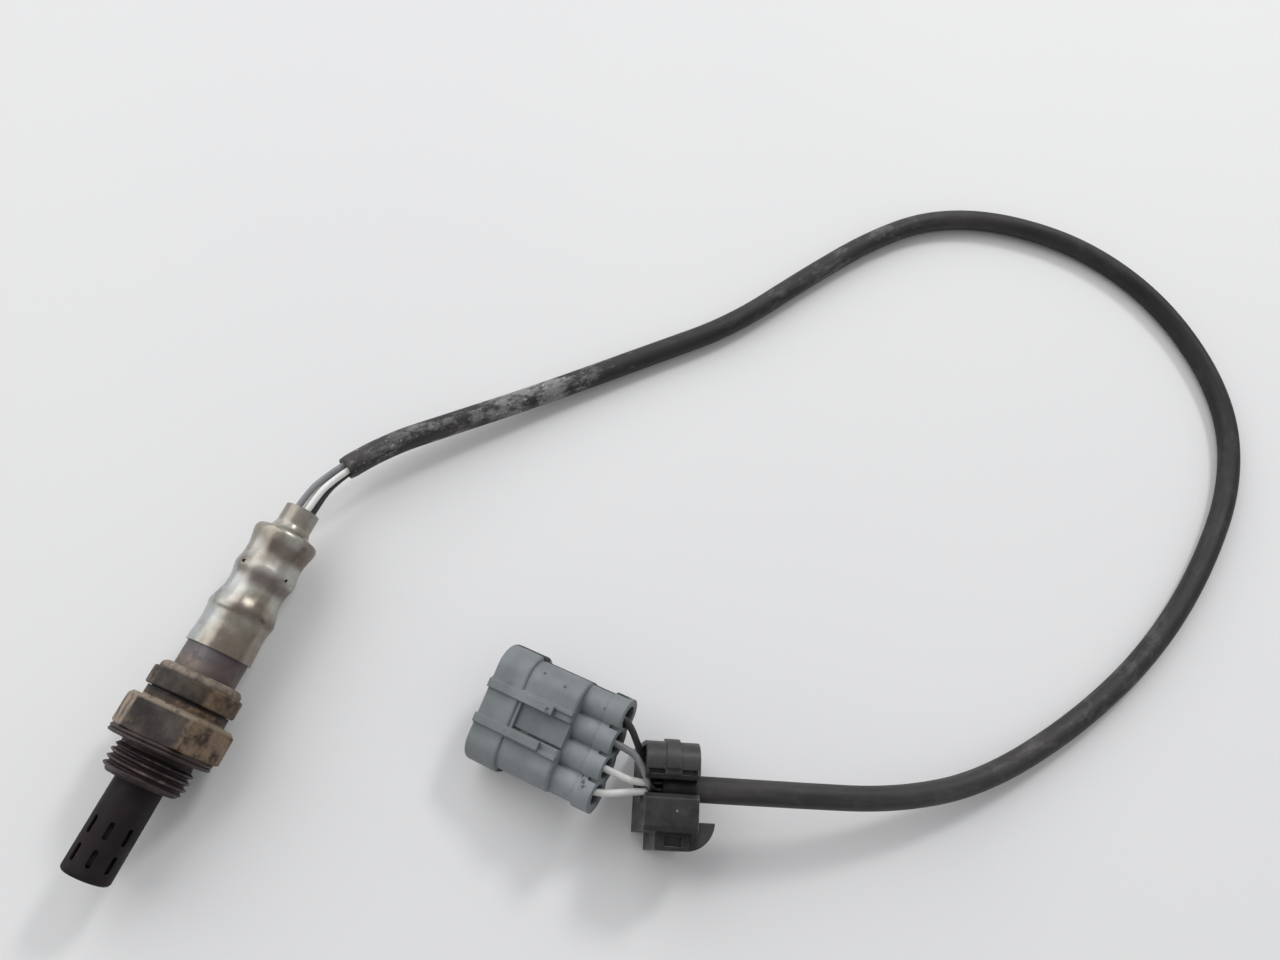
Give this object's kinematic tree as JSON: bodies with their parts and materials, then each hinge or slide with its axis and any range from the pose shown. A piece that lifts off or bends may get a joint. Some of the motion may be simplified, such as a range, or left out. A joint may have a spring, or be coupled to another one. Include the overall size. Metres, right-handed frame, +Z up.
{
  "type": "oxygen sensor",
  "caption": "Heated exhaust oxygen sensor with a threaded hex body, slotted tip shield, crimped sleeve and a sheathed lead that ends in a cable clip and an in-line connector.",
  "frame": {"origin": "below the middle of the sensor body, in the plane that it lies on", "axes": "+X along the sensor towards its tip, +Y towards the side where the lead loops and the connector lies, +Z up from the surface"},
  "size_m": [0.2662, 0.2385, 0.025],
  "materials": {
    "shell_steel": "oxidised",
    "washer_steel": "oxidised",
    "collar_steel": "oxidised",
    "tube_steel": "heat tinted",
    "sleeve_steel": "satin",
    "shield_steel": "oxidised",
    "zirconia": "matte",
    "alumina": "matte",
    "talc": "matte",
    "spring_steel": "satin",
    "contact_alloy": "satin",
    "ptfe": "matte",
    "grommet_rubber": "matte",
    "sheath_rubber": "worn matte",
    "wire_black": "satin",
    "wire_grey": "satin",
    "wire_white": "satin",
    "clip_plastic": "matte",
    "connector_plastic": "matte",
    "retainer_plastic": "matte",
    "terminal_brass": "satin",
    "seal_rubber": "matte"
  },
  "bodies": {
    "root": {"threaded_shell": "shell_steel", "sealing_washer": "washer_steel", "locking_collar": "collar_steel", "lower_tube": "tube_steel", "crimped_sleeve": "sleeve_steel", "outer_shield": "shield_steel", "inner_shield": "shield_steel", "zirconia_thimble": "zirconia", "heater_rod": "alumina", "element_gasket": "spring_steel", "talc_ring": "talc", "ceramic_bushing": "alumina", "compression_ring": "spring_steel", "contact_carrier": "alumina", "disc_spring": "spring_steel", "filter_sleeve": "ptfe", "wire_grommet": "grommet_rubber", "heater_contact_a": "contact_alloy", "heater_contact_b": "contact_alloy", "signal_contact": "contact_alloy", "ground_contact": "contact_alloy", "sheath": "sheath_rubber", "wire_black": "wire_black", "wire_grey": "wire_grey", "wire_white_a": "wire_white", "wire_white_b": "wire_white", "cable_clip": "clip_plastic", "connector_housing": "connector_plastic", "terminal_retainer": "retainer_plastic", "pin_terminal_1": "terminal_brass", "wire_seal_1": "seal_rubber", "pin_terminal_2": "terminal_brass", "wire_seal_2": "seal_rubber", "pin_terminal_3": "terminal_brass", "wire_seal_3": "seal_rubber", "pin_terminal_4": "terminal_brass", "wire_seal_4": "seal_rubber"}
  },
  "joints": []
}
